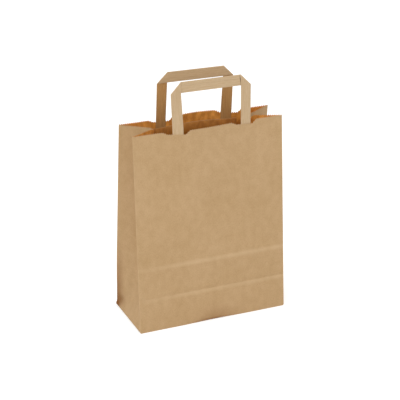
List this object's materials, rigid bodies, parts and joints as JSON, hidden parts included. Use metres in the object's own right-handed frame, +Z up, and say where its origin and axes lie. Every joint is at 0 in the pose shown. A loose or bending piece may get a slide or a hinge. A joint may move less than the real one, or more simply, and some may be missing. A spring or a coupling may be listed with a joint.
{
  "type": "paper gift bag",
  "caption": "Upright kraft paper carrier bag with a block bottom, gusseted sides, a pinked mouth and flat folded tape handles glued inside the long panels.",
  "frame": {"origin": "middle of the base's footprint, on the floor", "axes": "+Z up, X along the bag's width, -Y out of the front panel"},
  "size_m": [0.2206, 0.0964, 0.3454],
  "materials": {
    "kraft_body": "matte",
    "handle_tape": "matte",
    "handle_patch": "matte"
  },
  "bodies": {
    "root": {"bag_body": "kraft_body", "front_handle": "handle_tape", "rear_handle": "handle_tape", "front_handle_patch": "handle_patch", "rear_handle_patch": "handle_patch"}
  },
  "joints": []
}
